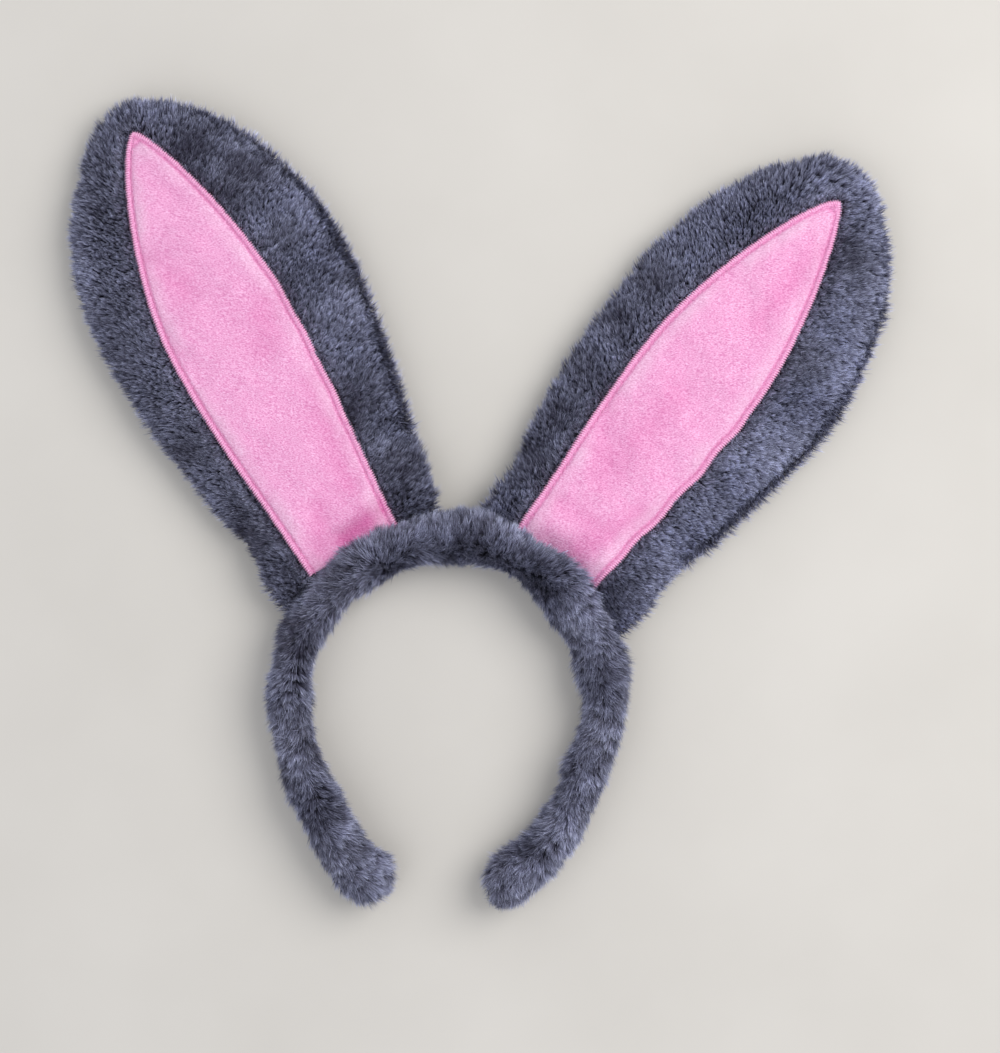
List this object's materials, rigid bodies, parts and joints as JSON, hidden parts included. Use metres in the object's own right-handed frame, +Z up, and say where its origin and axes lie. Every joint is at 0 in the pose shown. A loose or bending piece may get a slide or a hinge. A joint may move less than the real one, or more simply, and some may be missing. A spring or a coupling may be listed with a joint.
{
  "type": "animal ears headband",
  "caption": "C-shaped fur-covered headband with long plush rabbit ears that have smooth pink linings, lying flat.",
  "frame": {"origin": "on the surface that the headband lies on, below the middle of its whole outline", "axes": "+Z up from the surface, out of the ears' lined fronts; +Y along the band's middle line from its open mouth to its crown and ears; +X to the right seen from above"},
  "size_m": [0.3388, 0.3304, 0.026],
  "materials": {
    "fur_plush": "long slate blue-grey plush fur on a knitted backing",
    "lining_velour": "pink short-nap velour, matte with a faint sheen",
    "lining_thread": "pink overlock thread",
    "fur_thread": "dark sewing thread",
    "padding_foam": "soft off-white padding",
    "spring_plastic": "dark springy plastic",
    "stiffener_felt": "stiff white felt",
    "wadding_fibre": "white polyester wadding"
  },
  "bodies": {
    "crown": {"cover_crown": "fur_plush", "padding_crown": "padding_foam", "spring_strip_crown": "spring_plastic", "closing_seam_crown": "fur_thread", "left_ear_base_stitching": "fur_thread", "right_ear_base_stitching": "fur_thread"},
    "left_arm": {"cover_left": "fur_plush", "padding_left": "padding_foam", "spring_strip_left": "spring_plastic", "closing_seam_left": "fur_thread"},
    "right_arm": {"cover_right": "fur_plush", "padding_right": "padding_foam", "spring_strip_right": "spring_plastic", "closing_seam_right": "fur_thread"},
    "left_ear": {"left_ear_back": "fur_plush", "left_ear_stiffener": "stiffener_felt", "left_ear_wadding": "wadding_fibre", "left_ear_front": "fur_plush", "left_ear_lining": "lining_velour", "left_ear_lining_edge": "lining_thread", "left_ear_edge_seam": "fur_thread"},
    "right_ear": {"right_ear_back": "fur_plush", "right_ear_stiffener": "stiffener_felt", "right_ear_wadding": "wadding_fibre", "right_ear_front": "fur_plush", "right_ear_lining": "lining_velour", "right_ear_lining_edge": "lining_thread", "right_ear_edge_seam": "fur_thread"}
  },
  "joints": [
    {"name": "left_arm_flex", "type": "hinge", "parent": "crown", "child": "left_arm", "pos_m": [-0.06388, -0.05952, 0.013], "axis": [0, 0, -1], "range_deg": [0, 15], "stiffness_Nm_per_rad": 1},
    {"name": "right_arm_flex", "type": "hinge", "parent": "crown", "child": "right_arm", "pos_m": [0.06226, -0.05952, 0.013], "axis": [0, 0, 1], "range_deg": [0, 15], "stiffness_Nm_per_rad": 1},
    {"name": "left_ear_lift", "type": "hinge", "parent": "crown", "child": "left_ear", "pos_m": [-0.04555, -0.01135, 0.013], "axis": [0.8192, 0.5736, 0], "range_deg": [0, 70], "stiffness_Nm_per_rad": 0.06},
    {"name": "right_ear_lift", "type": "hinge", "parent": "crown", "child": "right_ear", "pos_m": [0.04426, -0.01158, 0.013], "axis": [0.8161, -0.5779, 0], "range_deg": [0, 70], "stiffness_Nm_per_rad": 0.06}
  ]
}
